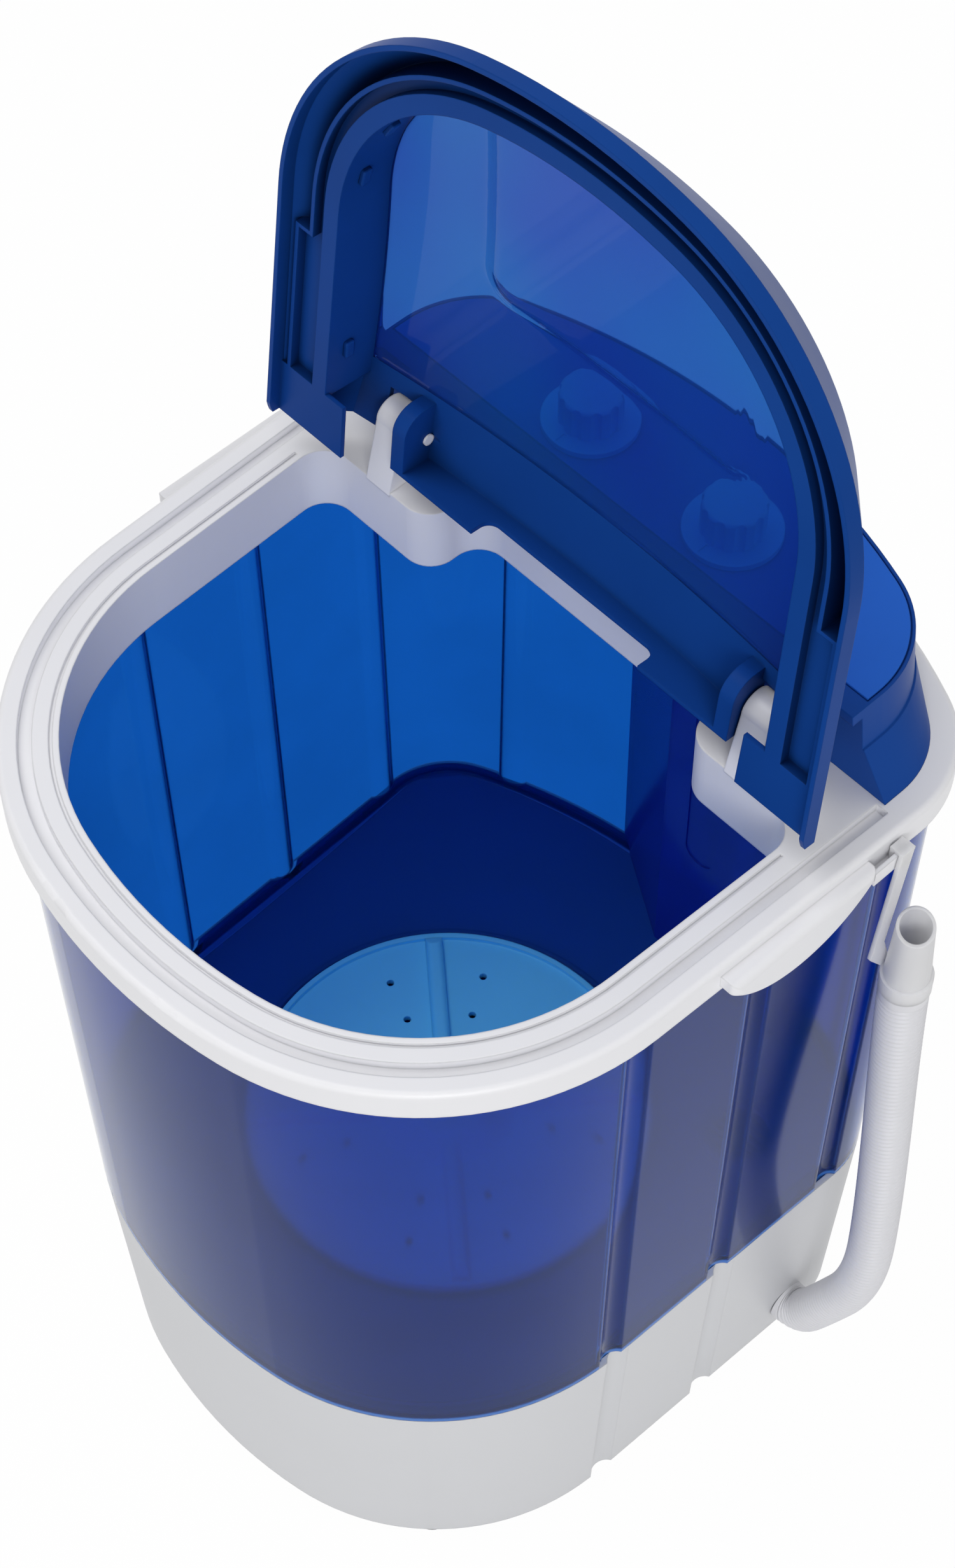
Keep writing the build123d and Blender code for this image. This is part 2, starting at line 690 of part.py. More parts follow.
for x, y in ear_points:
    bottom_plate = bottom_plate + rod(x, y, foot_height, post_top, 7)
    bottom_plate = bottom_plate - rod(x, y, post_top - 20, post_top + 1, bush_bore)
parts["motor_bushes"] = group([
    tube(x, y, post_top, motor_bottom, 9, bush_bore + fit_gap) for x, y in ear_points])
parts["motor_screws"] = group([
    screw(x, y, motor_bottom + ear_thickness, ear_thickness + bush_height + 18, bush_bore, 6, up=-1)
    for x, y in ear_points])

# Capacitor standing on the bottom plate, held by a clamp
cap_x = 60.0
cap_y = back_y - capacitor_back
cap_radius = 17.5
parts["capacitor"] = rod(cap_x, cap_y, plate_top, plate_top + 60, cap_radius)
clamp = tube(cap_x, cap_y, plate_top + 22, plate_top + 34, cap_radius + 2, cap_radius)
tab_y = cap_y + cap_radius + 0.5
clamp = clamp + block(cap_x - 6, cap_x + 6, tab_y, tab_y + 2, plate_top, plate_top + 30)
clamp = clamp + block(cap_x - 6, cap_x + 6, tab_y, tab_y + 13.5, plate_top, plate_top + 2)
parts["capacitor_clamp"] = clamp
parts["bottom_plate"] = bottom_plate

# Drain pipe from the tub floor out through the base
pipe_wall_x = side_x(hose_y, base_inset_bottom)
pipe_end = pipe_wall_x + pipe_out
pipe_top = grate_z - 3 - seat_gap
pipe_path = FilletPolyline((drain_x, hose_y, pipe_top), (drain_x, hose_y, hose_low_z),
                           (pipe_end, hose_y, hose_low_z), radius=pipe_bend)
pipe_ring = Pos(drain_x, hose_y, pipe_top) * (Circle(pipe_radius) - Circle(pipe_bore))
parts["drain_pipe"] = sweep(pipe_ring, path=pipe_path)
base_housing = base_housing - rod_x(drain_x + 30, pipe_end, hose_y, hose_low_z, pipe_radius + seat_gap)

# Ribbed hose: ruled loft through four circles for each rib
hose_wall_inset = base_inset_bottom - base_slope * (hose_low_z + hose_radius - foot_height)
hose_start = side_x(hose_y, hose_wall_inset) + fit_gap
bend_x = pipe_end + hose_straight
rise = radians(hose_rise)
lean_top = hose_top_z - 2 * hose_radius
lean_radius = 150.0


def bend_point(angle):
    """Point on the bend at the foot of the hose, which turns up from the level."""
    return (bend_x + hose_bend * sin(angle), hose_y, hose_low_z + hose_bend * (1 - cos(angle)))


rise_x, rise_y, rise_z = bend_point(rise)
knee_z = rise_z + (hose_out_x - rise_x) * tan(rise)
upper_line = FilletPolyline(
    (rise_x, rise_y, rise_z), (hose_out_x, hose_y, knee_z), (hose_out_x, hose_y, hose_lean_z),
    (hose_top_x, hose_y, lean_top), (hose_top_x, hose_y, hose_top_z), radius=lean_radius)
hose_line = Wire([
    Line((hose_start, hose_y, hose_low_z), bend_point(0)),
    ThreePointArc(bend_point(0), bend_point(rise / 2), bend_point(rise)),
] + list(upper_line.edges()))
hose_length = hose_line.length


def hose_ring(distance, radius):
    """Circle round the hose at a distance along it."""
    point = hose_line.position_at(distance / hose_length)
    along = hose_line.tangent_at(distance / hose_length)
    return Plane(origin=point, x_dir=(0, 1, 0), z_dir=along) * Circle(radius)


ribbed_length = hose_length - root_cuff - cuff_length
rib_count = int(ribbed_length / hose_pitch)
pitch = ribbed_length / rib_count
rings = [hose_ring(0, hose_radius), hose_ring(root_cuff - 0.5, hose_radius)]
for i in range(rib_count):
    start = root_cuff + i * pitch
    rings.append(hose_ring(start, hose_root_radius))
    rings.append(hose_ring(start + pitch * 0.25, hose_root_radius))
    rings.append(hose_ring(start + pitch * 0.45, hose_radius))
    rings.append(hose_ring(start + pitch * 0.8, hose_radius))
rings.append(hose_ring(hose_length - cuff_length, hose_root_radius))
rings.append(hose_ring(hose_length - cuff_length + 0.5, hose_radius))
rings.append(hose_ring(hose_length, hose_radius))
hose = loft(rings, ruled=True)
hose_core = sweep(hose_ring(0, hose_bore), path=hose_line)
hose = hose - hose_core - rod_x(hose_start - 1, pipe_end + 0.5, hose_y, hose_low_z, pipe_radius + seat_gap)
parts["drain_hose"] = hose

# Nozzle on the free end of the hose, with its hook arm over the hook of the rim
collar_top = hose_top_z + collar_height
mouth = hose_top_z + nozzle_height
nozzle = rod(hose_top_x, hose_y, hose_top_z + seat_gap, collar_top, nozzle_radius + 1.5)
taper_height = mouth + mouth_radius - collar_top
taper = Cone(nozzle_radius, mouth_radius, taper_height)
nozzle = nozzle + Pos(hose_top_x, hose_y, collar_top + taper_height / 2) * taper
nozzle = nozzle + rod(hose_top_x, hose_y, hose_top_z - cuff_length, collar_top, hose_bore - seat_gap)
slant = Pos(hose_top_x, hose_y, mouth) * Rot(0, 0, -mouth_turn) * Rot(0, mouth_slant, 0)
nozzle = nozzle - slant * block(-far, far, -far, far, 0, far)
hook_lip_in = hook_lip_out - hook_lip
hook_top = rim_height - hook_drop
hook_y = hose_y - hook_ahead
arm_top = hook_top + arm_gap + arm_thickness
tongue_in = hook_lip_in - arm_gap - arm_thickness
y0, y1 = hose_y - arm_width / 2, hose_y + arm_width / 2
arm_low = collar_top + arm_foot_rise
strap = make_face(Polyline(
    (y0, arm_top), (y1, arm_top), (y1 - arm_lean, arm_low), (hose_y, collar_top),
    (hose_y, hose_top_z + 1), (y0 - arm_lean, arm_low - arm_width), close=True))
arm = Pos(arm_in, 0, 0) * extrude(Plane.YZ * strap, arm_thickness, dir=(1, 0, 0))
arm = arm + block(tongue_in, arm_out, y0, y1, arm_top - arm_thickness, arm_top)
arm = arm + block(tongue_in, tongue_in + arm_thickness, y0, y1, arm_top - tongue_drop, arm_top)
nozzle = nozzle + arm - rod(hose_top_x, hose_y, hose_low_z, rim_height + far, pipe_bore)
parts["hose_end_fitting"] = nozzle

# Rim with its stepped top, inner skirt, handles, posts and hook
rim_low = rim_height - rim_band
rim = prism(0, rim_low, 0, rim_height)
rim = fillet(rim.edges().group_by(Axis.Z)[-1], rim_edge_radius)
opening = Sketch() + plan_face(opening_inset, 0)
opening = opening - Pos(0, platform_y + far / 2) * Rectangle(2 * far, far)
opening = opening + Pos(0, opening_back_y / 2) * Rectangle(2 * platform_gap, opening_back_y)
corners = opening.vertices().filter_by_position(Axis.Y, platform_y - 0.1, opening_back_y + 0.1)
opening = fillet(corners, platform_radius)
opening_outer = offset(opening, skirt_wall, kind=Kind.ARC)
plate_under = rim_height - rim_plate
hollow = prism(rim_wall, rim_low - 1, rim_wall, plate_under)
hollow = hollow - Pos(0, 0, rim_low - 1) * extrude(opening_outer, rim_band, dir=(0, 0, 1))
rim = rim - hollow
rim = rim + Pos(0, 0, skirt_bottom) * extrude(opening_outer, plate_under + 1 - skirt_bottom, dir=(0, 0, 1))
rim = rim - Pos(0, 0, skirt_bottom - 1) * extrude(opening, rim_height + 2 - skirt_bottom, dir=(0, 0, 1))


def top_groove(inset, width, depth, back_limit):
    """Groove round the top of the rim, up to back_limit."""
    ring = prism(inset, rim_height - depth, inset, rim_height + 1)
    ring = ring - prism(inset + width, rim_height - depth - 1, inset + width, rim_height + 2)
    return ring & block(-far, far, -far, back_limit, 0, 2 * far)


lid_groove_width = lid_groove_inner - lid_groove_outer
rim = rim - top_groove(lid_groove_outer, lid_groove_width, lid_groove_depth, panel_front_y - 2)
rim = rim - top_groove(trim_groove_outer, trim_groove_width, trim_groove_depth, platform_y - platform_radius)

# Hinge posts
post_base = rim_height - 2.0
post_profile = Plane.YZ * make_face(Polyline(
    (hinge_y - post_foot_front, post_base), (hinge_y - post_radius, hinge_height),
    (hinge_y + post_radius, hinge_height), (hinge_y + post_foot_back, post_base), close=True))
post_profile = post_profile + Plane.YZ * Pos(hinge_y, hinge_height) * Circle(post_radius)
post = Pos(post_inner_x, 0, 0) * extrude(post_profile, post_width, dir=(1, 0, 0))
post = post - rod_x(post_inner_x - 1, post_inner_x + post_width - 3, hinge_y, hinge_height, pin_radius)
rim = rim + both_sides(post)
ear_out = post_inner_x - ear_gap
ear_in = ear_out - ear_width
pin = rod_x(ear_in - 1.0, post_inner_x + post_width - 3, hinge_y, hinge_height, pin_radius)
parts["hinge_pins"] = group([pin, mirror(pin, Plane.YZ)])

# Handles: a hanging grip on each side
handle_x = side_x(handle_y, 0) + handle_reach
grip_top = rim_height - 6.0
grip_low = rim_low - handle_drop
half_grip = handle_length / 2


def grip_face(margin):
    low = grip_low + margin
    half = half_grip - margin
    side = ThreePointArc((handle_y - half, rim_low + 4), (handle_y, low), (handle_y + half, rim_low + 4))
    top = Polyline((handle_y + half, rim_low + 4), (handle_y + half, grip_top - margin),
                   (handle_y - half, grip_top - margin), (handle_y - half, rim_low + 4))
    return Plane.YZ * make_face(side.edges() + top.edges())


grip_in = side_x(handle_y, 0) - rim_wall + 0.5
grip = Pos(grip_in, 0, 0) * extrude(grip_face(0), handle_x - grip_in, dir=(1, 0, 0))
grip = fillet(grip.edges().group_by(Axis.X)[-1], 4.0)
room_in = side_x(handle_y, 0) - rim_wall - 4.0
room_out = handle_x - handle_wall
hand_room = Pos(room_in, 0, 0) * extrude(grip_face(handle_wall), room_out - room_in, dir=(1, 0, 0))
hand_room = hand_room & block(room_in, handle_x, -far, far, 0, rim_low + 3)
half_room = half_grip * 0.75
below = block(room_in, room_out, handle_y - half_room, handle_y + half_room, 0, rim_low)
rim = rim + both_sides(grip) - both_sides(hand_room + below)

# Hook for the hose end
hook_root = side_x(hose_y, 0) - 1.0
y0, y1 = hook_y - hook_width / 2, hook_y + hook_width / 2
rim = rim + block(hook_root, hook_lip_out, y0, y1, rim_low, rim_low + 2.6)
rim = rim + block(hook_lip_in, hook_lip_out, y0, y1, rim_low, hook_top)

# Control panel on the back of the rim: a flared skirt, a steeper band above it and a flat deck
panel_low = rim_height + fit_gap
panel_mid = rim_height + panel_step_height
lip_under = deck_height - panel_lip
foot_half = side_x(panel_front_y, panel_inset)
mid_half = foot_half - panel_flare
top_half = mid_half - panel_lean
panel_back_y = back_y - panel_inset
top_back_y = panel_back_y - panel_back_lean


def panel_outline(z, half, back, corner, shrink):
    """Outline of the panel at height z, moved inward by shrink; its front is cut to length later."""
    half, back, corner = half - shrink, back - shrink, corner - shrink
    bow = back_radius - panel_inset - shrink
    bow_y = back - bow
    turn_x = half - corner
    turn_y = bow_y + sqrt((bow - corner) ** 2 - turn_x ** 2)
    turn = atan2(turn_y - bow_y, turn_x)
    front = panel_lip_y - panel_wall
    edges = [
        Line((-half, front, z), (half, front, z)),
        Line((half, front, z), (half, turn_y, z)),
        arc(turn_x, turn_y, corner, 0, turn, z),
        arc(0, bow_y, bow, turn, pi - turn, z),
        arc(-turn_x, turn_y, corner, pi - turn, pi, z),
        Line((-half, turn_y, z), (-half, front, z)),
    ]
    return Face(Wire(edges))


def panel_form(shrink):
    """Filled panel, moved inward by shrink."""
    foot = panel_outline(panel_low, foot_half, panel_back_y, back_corner_radius - panel_inset, shrink)
    wide_mid = panel_outline(panel_mid, mid_half, panel_back_y, panel_mid_corner, shrink)
    mid = panel_outline(panel_mid, mid_half, panel_back_y, panel_mid_corner, shrink + panel_step)
    top = panel_outline(deck_height, top_half, top_back_y, panel_top_corner, shrink)
    return loft([foot, wide_mid], ruled=True) + loft([mid, top], ruled=True)


panel = panel_form(0)
panel = panel - block(-far, far, -far, panel_front_y, 0, lip_under)
panel = panel - block(-far, far, -far, panel_lip_y, 0, 2 * far)
ceiling = deck_height - panel_deck
panel_room = panel_form(panel_wall) - block(-far, far, -far, far, ceiling, 2 * far)
panel = panel - (panel_room - block(-far, far, -far, panel_front_y + panel_wall, 0, 2 * far))
fascia_low = deck_height - fascia_recess
fascia_top = fascia_low + fascia_thickness


def deck_plate(height, shrink):
    """Plate on the deck, moved inward by shrink from the deck's edge."""
    face = panel_outline(fascia_low, top_half, top_back_y, panel_top_corner, panel_edge + shrink)
    plate = extrude(face, height, dir=(0, 0, 1))
    return plate - block(-far, far, -far, fascia_front_y + shrink, 0, 2 * far)


panel = panel - deck_plate(knob_rise, 0)
fascia = deck_plate(fascia_thickness, fascia_gap)
panel_points = []
for side in (-1, 1):
    y = back_y - panel_screw_back
    panel_points.append((side * (side_x(y, panel_inset) - panel_screw_margin), y))
    y = back_edge_y(panel_back_screw_x, panel_inset) - panel_back_margin
    panel_points.append((side * panel_back_screw_x, y))
for x, y in panel_points:
    panel = panel + rod(x, y, panel_low, ceiling + 1, 6.0)
    panel = panel - rod(x, y, panel_low - 1, panel_low + 20, screw_radius)
    rim = rim - rod(x, y, plate_under - 1, rim_height + 1, screw_radius + fit_gap)
parts["panel_screws"] = group([screw(x, y, plate_under, rim_plate + 14) for x, y in panel_points])

# Knobs, their shafts and the units under the deck
unit_top = ceiling - fit_gap
unit_low = unit_top - timer_size[2]
for sign, knob_name, shaft_name, unit_name in (
        (-1, "timer_knob", "timer_shaft", "timer_unit"),
        (1, "selector_knob", "selector_shaft", "selector_switch")):
    x = sign * knob_x
    hole = rod(x, knob_y, ceiling - 1, knob_height, knob_shaft_radius + 1)
    panel = panel - hole
    fascia = fascia - hole
    shaft_low_z = unit_top - 16
    parts[shaft_name] = rod(x, knob_y, shaft_low_z, knob_height - 4, knob_shaft_radius)
    unit = Pos(x, knob_y, unit_low + timer_size[2] / 2) * Box(*timer_size)
    parts[unit_name] = unit - rod(x, knob_y, shaft_low_z - 0.5, unit_top + 1, knob_shaft_radius + running_gap)
    knob_low = fascia_top + 0.5
    knob = rod(x, knob_y, knob_low, knob_low + knob_skirt, knob_skirt_radius)
    grip_part = rod(x, knob_y, knob_low, knob_height, knob_grip_radius)
    grip_part = fillet(grip_part.edges().group_by(Axis.Z)[-1], 2.0)
    for i in range(knob_scallops):
        sx, sy = on_circle(x, knob_y, knob_grip_radius + 2.2, 2 * pi * i / knob_scallops)
        grip_part = grip_part - rod(sx, sy, knob_low + knob_skirt, knob_height + 1, 3.4)
    knob = knob + grip_part
    pointer = block(x - 0.8, x + 0.8, knob_y - knob_skirt_radius + 1.5, knob_y - knob_grip_radius - 1,
                    knob_low + knob_skirt - 0.6, knob_low + knob_skirt + 1)
    knob = knob - pointer
    parts[knob_name] = knob - rod(x, knob_y, knob_low - 1, knob_height - 4, knob_shaft_radius)

# Wiring down the back of the tub
duct_half = 14.0
duct_out = back_edge_y(duct_half, 0) - 0.8
duct_wall = 1.5
wire_radius = 1.5
duct_low = seam_height + 4.0
duct_high = rim_low - 1.0
duct_in = back_edge_y(0, seam_inset)
duct = block(-duct_half, duct_half, duct_in, duct_out, duct_low, duct_high)
duct_room = block(-duct_half + duct_wall, duct_half - duct_wall, duct_in - 1, duct_out - duct_wall,
                  duct_low - 1, duct_high - duct_wall)
duct = duct - duct_room - prism(seam_inset - fit_gap, seam_height, tub_inset_top - fit_gap, tub_top)
parts["wire_duct"] = duct
wire_y = duct_out - duct_wall - wire_radius - fit_gap
wire_step = 2 * wire_radius + fit_gap
parts["wiring_loom"] = group([
    rod(i * wire_step, wire_y, duct_low + 1, duct_high - duct_wall - 1, wire_radius) for i in (-1, 0, 1)])
gland_x, gland_z = -95.0, 40.0
gland_out = back_edge_y(gland_x, base_inset_bottom) + 6
gland_radius = 8.0
gland = rod_y(gland_x, gland_out - 18, gland_out + 4, gland_z, gland_radius)
gland = gland - rod_y(gland_x, gland_out - 30, gland_out + 9, gland_z, 3.6)
base_housing = base_housing - rod_y(gland_x, gland_out - 30, gland_out + 9, gland_z, gland_radius)
parts["cord_gland"] = gland
parts["base_housing"] = base_housing
parts["top_rim"] = rim
parts["panel_housing"] = panel
parts["panel_fascia"] = fascia

# Lid, made closed and then turned open about the hinge: straight sides, a sloping band and a dome
lid_top = hinge_height + dome_rise
lid_high = lid_top + 20
side_top = lid_edge_height + lid_side_height
slope_tan = tan(radians(lid_slope))


def dome(depth):
    """Ball whose top is the outside of the lid, moved inward by depth."""
    return Pos(0, 0, lid_top - dome_radius) * Sphere(dome_radius - depth)


def between(depth_out, depth_in):
    return dome(depth_out) - dome(depth_in)


def lid_form(inset, z_low, z_side, depth):
    """Filled outline of the lid, with its sides at inset and its dome moved inward by depth."""
    rise = lid_top - z_side + 1
    sides = prism(inset, z_low, inset, z_side)
    band = prism(inset, z_side, inset + rise / slope_tan, z_side + rise)
    return sides + band & dome(depth)


def window_region(grow, rear):
    """Room of the window hole, made larger by grow and ending at the rear line."""
    region = Sketch() + plan_face(window_inset - grow, 0)
    region = region - Pos(0, rear + far / 2) * Rectangle(2 * far, far)
    return extrude(region, 2 * far, dir=(0, 0, 1))


def ring_form(inset, z_low, depth):
    """Filled outline of the inner ring, which is wider behind a jog on each side."""
    narrow_inset = inset + ring_inset - ring_wide_inset
    jog_y = hinge_y - ring_jog_back + inset - ring_wide_inset
    narrow = prism(narrow_inset, z_low, narrow_inset, lid_high)
    wide = prism(inset, z_low, inset, lid_high) & block(-far, far, jog_y, far, 0, 2 * far)
    return narrow + wide & lid_form(lid_inset + depth, z_low, side_top, depth)


lid = lid_form(lid_inset, lid_edge_height, side_top, 0)
inner_drop = lid_wall * (1 / cos(radians(lid_slope)) - slope_tan)
lid = lid - lid_form(lid_inset + lid_wall, lid_edge_height - 1, side_top - inner_drop, lid_wall)

# Ring round the front and sides of the window, hollow and open at its rear ends
mid_wall = lid_wall / 2
ring_face = lid_edge_height + ring_drop
ring = ring_form(ring_wide_inset, ring_face, mid_wall)
ring_room = ring_form(ring_wide_inset + ring_wall, ring_face + ring_wall, mid_wall)
ring_end_y = window_y + ring_end
ring = ring - (ring_room - window_region(ring_wall, rear_y)) - window_region(0, rear_y)

# Groove in the face of the ring, between a thin outer rib and the flat frame of the window
groove_floor = ring_face + groove_depth
groove = ring_form(ring_wide_inset + ring_wall, ring_face - 1, mid_wall) - window_region(frame_width, rear_y)
groove = groove & block(-far, far, -far, ring_end_y - ring_wall, 0, groove_floor)
pan = ring_form(ring_wide_inset, ring_face, mid_wall) - window_region(frame_width - ring_wall, rear_y)
pan = pan & block(-far, far, -far, ring_end_y, 0, groove_floor + ring_wall)
ring = ring + pan - groove
lid = lid + (ring - block(-far, far, ring_end_y, far, 0, 2 * far))

# Rear edge: flange of the hinge bar, cut back in the middle, and flat feet of the wings
lid = lid - block(-far, far, rear_y, far, 0, 2 * far)
flange_low = hinge_height - bar_drop
bar_flange = block(-ear_out, ear_out, rear_y - bar_wall, rear_y, flange_low, lid_high) & dome(mid_wall)
cut_top = hinge_height - bar_cut_drop
bar_cut = block(-bar_cut_half_width, bar_cut_half_width, rear_y - bar_wall - 1, rear_y + 1, 0, cut_top)
bar_cut = fillet(bar_cut.edges().filter_by(Axis.Y).group_by(Axis.Z)[-1], bar_cut_radius)
lid = lid + (bar_flange - bar_cut)
notch_in = ear_out
notch_out = post_inner_x + post_width + notch_gap
foot_inset = lid_inset + mid_wall
wing_foot = prism(foot_inset, ring_face, foot_inset, ring_face + ring_wall)
wing_foot = wing_foot & block(notch_out, far, ring_end_y - ring_wall, wing_y, 0, 2 * far)
lid = lid + both_sides(wing_foot)
lid = lid - both_sides(block(notch_in, far, wing_y, far, 0, 2 * far))
lid = lid - both_sides(block(notch_in, notch_out, hinge_y - notch_front, far, 0, 2 * far))

# What lies behind the hinge stays clear of the rim while the lid swings
swing_radius = hinge_height - (rim_height - lid_groove_depth) - swing_gap
swing_room = block(-far, far, hinge_y, far, 0, 2 * far)
lid = lid - (swing_room - rod_x(-far, far, hinge_y, hinge_height, swing_radius))

# Ears on the hinge pins
ear_front = hinge_y - ear_reach
ear_profile = Pos((ear_front + rear_y - mid_wall) / 2, (flange_low + lid_top) / 2)
ear_profile = ear_profile * Rectangle(rear_y - mid_wall - ear_front, lid_top - flange_low)
ear_profile = fillet(ear_profile.vertices().group_by(Axis.Y)[0].group_by(Axis.X)[0], bar_drop - pin_radius)
ear = Pos(ear_in, 0, 0) * extrude(Plane.YZ * ear_profile, ear_width, dir=(1, 0, 0)) & dome(mid_wall)
lid = lid + both_sides(ear)
lid = lid - both_sides(rod_x(ear_in - 5, ear_out + 1, hinge_y, hinge_height, pin_radius + running_gap))
lid = lid - window_region(0, window_y)

# Window pane with a shallow dish
pane = window_region(-fit_gap, window_y - fit_gap) & between(0, window_thickness)
dish_front_y = front_y + window_inset + dish_margin
dish_rear_y = hinge_y - dish_back
dish = Pos(0, (dish_front_y + dish_rear_y) / 2) * Rectangle(2 * dish_half_width, dish_rear_y - dish_front_y)
dish = fillet(dish.vertices(), dish_corner)
dish_out = extrude(dish, 2 * far, dir=(0, 0, 1))
dish_in = extrude(offset(dish, -window_thickness), 2 * far, dir=(0, 0, 1))
pane = pane - dish_in
pane = pane + (dish_out & between(0, dish_depth + window_thickness))
pane = pane - (dish_in & between(-5, dish_depth))

hinge_axis = Axis((0, hinge_y, hinge_height), (1, 0, 0))
parts["lid_frame"] = lid.rotate(hinge_axis, -lid_angle)
parts["lid_window"] = pane.rotate(hinge_axis, -lid_angle)

for name, shape in parts.items():
    export_step(shape, f"parts/{name}.step")
    print(name, len(shape.solids()), round(shape.volume))
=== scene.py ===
import math

import bpy
import bmesh
from mathutils import Matrix, Vector


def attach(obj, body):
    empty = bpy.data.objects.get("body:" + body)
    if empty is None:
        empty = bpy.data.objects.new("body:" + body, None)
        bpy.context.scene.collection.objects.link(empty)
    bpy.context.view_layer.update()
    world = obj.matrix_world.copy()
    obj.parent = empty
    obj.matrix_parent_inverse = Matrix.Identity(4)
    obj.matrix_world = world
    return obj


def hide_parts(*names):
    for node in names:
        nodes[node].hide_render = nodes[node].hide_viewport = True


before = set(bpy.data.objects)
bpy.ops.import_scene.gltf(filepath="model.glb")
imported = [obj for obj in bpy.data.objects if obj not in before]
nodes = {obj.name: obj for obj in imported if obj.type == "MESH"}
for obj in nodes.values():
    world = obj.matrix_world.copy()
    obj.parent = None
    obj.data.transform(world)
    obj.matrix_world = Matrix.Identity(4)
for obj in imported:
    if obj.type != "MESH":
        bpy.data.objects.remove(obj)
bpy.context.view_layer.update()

# Photograph's camera, in metres, degrees and pixels of its frame; the lens covers the taller side
image_height = 2464
focal_pixels = 5023.7
principal_y = 1230.2
camera_azimuth = 46.907
camera_elevation = 54.764
camera_roll = -0.349
camera_target = Vector((-0.0049, 0.0202, 0.4187))
camera_distance = 1.4959
sensor = 36.0

# Control points of the drain hose's line and the sizes of its wall, in metres
hose_route = [
    (0.1664, 0.091, 0.031),
    (0.1780, 0.091, 0.031),
    (0.1890, 0.091, 0.056),
    (0.2130, 0.091, 0.118),
    (0.2130, 0.091, 0.200),
    (0.2018, 0.091, 0.380),
    (0.2018, 0.091, 0.404),
]
hose_radius = 0.012
hose_root_radius = 0.0109
hose_bore = 0.0086
hose_pitch = 0.0034
hose_root_cuff = 0.004
hose_end_cuff = 0.006
hose_sides = 40
rings_per_rib = 8

# Lid and its window, in metres, in the closed place
hinge = Vector((0, 0.0785, 0.5376))
lid_open = math.radians(-95.6)
front_centre_y = 0.0825
front_radius = 0.2348
front_join_y = -0.1467
corner_centre = Vector((0.028, -0.0434))
corner_radius = 0.1058
side_join_y = -0.0469
side_slope = 0.0325
lid_top = 0.5506
dome_radius = 1.0
window_rear = 0.0543
pane_thickness = 0.0025
dish_centre = Vector((0, -0.0785))
dish_half = Vector((0.080, 0.057))
dish_corner = 0.018
dish_depth = 0.003
dish_slope = 0.009
pane_rows = 90
pane_columns = 90
pane_row_spread = 1.6
pane_tip = 0.0002
clip_height = 0.520
clip_size = (0.003, 0.009, 0.005)
clip_sink = 0.0008
clip_rounding = 0.0008
clip_rows = (-0.126, -0.100, -0.065, 0.038)

# Clear plastic, the painted bright strip at the tub's foot, and the studio; heights and places in metres,
# power in watts
clear_index = 1.17
clear_tint = (0.5, 0.6, 0.9, 1)
strip_low = 0.1635
strip_high = 0.1655
strip_clearness = 0.2
floor_share = 0.55
stage_size = 16
stage_colour = (0.86, 0.86, 0.86, 1)
stage_glow = 0.98
world_level = 0.5
world_seen_level = 1.0
light_aim = (0, 0, 0.4)


def linear(red, green, blue):
    """Colour in linear light from 8-bit display values."""
    def channel(value):
        share = value / 255
        return share / 12.92 if share <= 0.04045 else ((share + 0.055) / 1.055) ** 2.4
    return (channel(red), channel(green), channel(blue), 1.0)


def set_camera():
    azimuth = math.radians(camera_azimuth)
    elevation = math.radians(camera_elevation)
    roll = math.radians(camera_roll)
    flat = math.cos(elevation)
    back = Vector((math.sin(azimuth) * flat, -math.cos(azimuth) * flat, math.sin(elevation)))
    right = Vector((math.cos(azimuth), math.sin(azimuth), 0))
    up = back.cross(right)
    rolled_right = right * math.cos(roll) + up * math.sin(roll)
    rolled_up = up * math.cos(roll) - right * math.sin(roll)
    data = bpy.data.cameras.new("photo_camera")
    data.sensor_width = sensor
    data.lens = focal_pixels * sensor / image_height
    data.shift_y = (principal_y - image_height / 2) / image_height
    camera = bpy.data.objects.new("photo_camera", data)
    bpy.context.scene.collection.objects.link(camera)
    camera.matrix_world = Matrix.Translation(camera_target + back * camera_distance) @ Matrix(
        (rolled_right, rolled_up, back)).transposed().to_4x4()
    bpy.context.scene.camera = camera


# Materials


def new_material(name):
    material = bpy.data.materials.new(name)
    material.use_nodes = True
    tree = material.node_tree
    return material, tree, tree.nodes["Principled BSDF"]


def noise(tree, scale, detail=3.0):
    place = tree.nodes.new("ShaderNodeTexCoord")
    texture = tree.nodes.new("ShaderNodeTexNoise")
    texture.inputs["Scale"].default_value = scale
    texture.inputs["Detail"].default_value = detail
    tree.links.new(place.outputs["Object"], texture.inputs["Vector"])
    return texture


